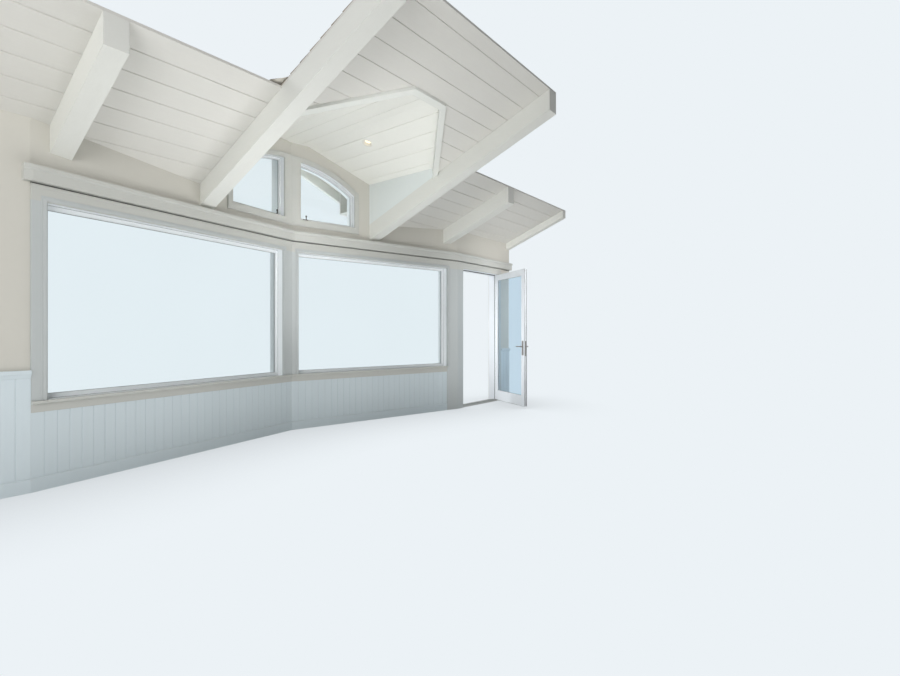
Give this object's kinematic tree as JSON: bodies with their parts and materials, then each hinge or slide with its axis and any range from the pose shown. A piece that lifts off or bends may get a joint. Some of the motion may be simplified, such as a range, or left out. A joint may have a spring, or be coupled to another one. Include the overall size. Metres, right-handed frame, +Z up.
{
  "type": "bowed window wall with dormer and glazed door",
  "caption": "Bowed picture-window wall of a beach house great room, with panelling, cornice, a gabled dormer with half-arch windows and a hinged glazed door.",
  "frame": {"origin": "on the floor, in the middle of the underside of the post between the two picture windows", "axes": "+Z up, +X along the wall to the door end, +Y out of the room towards the sea"},
  "size_m": [8.442, 3.5393, 3.784],
  "materials": {
    "wall_paint": "matt wall paint",
    "panel_paint": "satin paint on boards",
    "trim_paint": "satin paint",
    "sash_paint": "satin paint",
    "beam_paint": "satin paint on sawn timber",
    "ceiling_boards": "satin paint on tongued boards",
    "cheek_paint": "satin paint",
    "roof_deck": "wood shingles over a painted deck",
    "rake_paint": "satin paint",
    "door_paint": "semi-gloss paint",
    "glass": "clear glass",
    "nickel": "satin nickel",
    "hinge_metal": "satin",
    "dark_metal": "dark painted",
    "lamp_enamel": "white enamel",
    "sill_metal": "satin"
  },
  "bodies": {
    "wall": {"bay_baseboard": "panel_paint", "bay_wainscot": "panel_paint", "centre_casing": "trim_paint", "centre_post": "wall_paint", "corner_pier": "wall_paint", "corner_pilaster": "trim_paint", "cornice": "trim_paint", "door_far_jamb": "sash_paint", "door_head": "sash_paint", "door_header": "wall_paint", "door_near_jamb": "sash_paint", "door_side_casing": "trim_paint", "dormer_casing": "trim_paint", "dormer_ceiling": "ceiling_boards", "dormer_eave_boxes": "rake_paint", "dormer_left_cheek": "cheek_paint", "dormer_left_front": "wall_paint", "dormer_left_roof": "roof_deck", "dormer_left_window": "sash_paint", "dormer_panes": "glass", "dormer_rafters": "beam_paint", "dormer_rake_board": "rake_paint", "dormer_right_cheek": "cheek_paint", "dormer_right_front": "wall_paint", "dormer_right_roof": "roof_deck", "dormer_right_window": "sash_paint", "end_panelling": "panel_paint", "end_wall": "wall_paint", "head_casing": "trim_paint", "jamb_hinges": "hinge_metal", "left_baseboard": "panel_paint", "left_beam": "beam_paint", "left_chair_rail": "panel_paint", "left_header": "wall_paint", "left_jamb_casing": "trim_paint", "left_jamb_post": "wall_paint", "left_side_beams": "beam_paint", "left_side_ceiling": "ceiling_boards", "left_sill_wall": "wall_paint", "left_wainscot": "panel_paint", "left_wall": "wall_paint", "left_window_frame": "sash_paint", "left_window_pane": "glass", "recessed_lamp": "lamp_enamel", "right_beam": "beam_paint", "right_header": "wall_paint", "right_side_beams": "beam_paint", "right_side_ceiling": "ceiling_boards", "right_sill_wall": "wall_paint", "right_window_frame": "sash_paint", "right_window_pane": "glass", "slope_ceiling": "ceiling_boards", "threshold": "sill_metal", "well_curb": "ceiling_boards", "window_cranks": "dark_metal", "window_stool": "trim_paint"},
    "door": {"door_leaf": "door_paint", "door_pane": "glass", "door_levers": "nickel", "leaf_hinges": "hinge_metal"}
  },
  "joints": [
    {"name": "door_hinge", "type": "hinge", "parent": "wall", "child": "door", "pos_m": [3.821, -0.661, 1.12], "axis": [0, 0, 1], "range_deg": [-60, 30]}
  ]
}
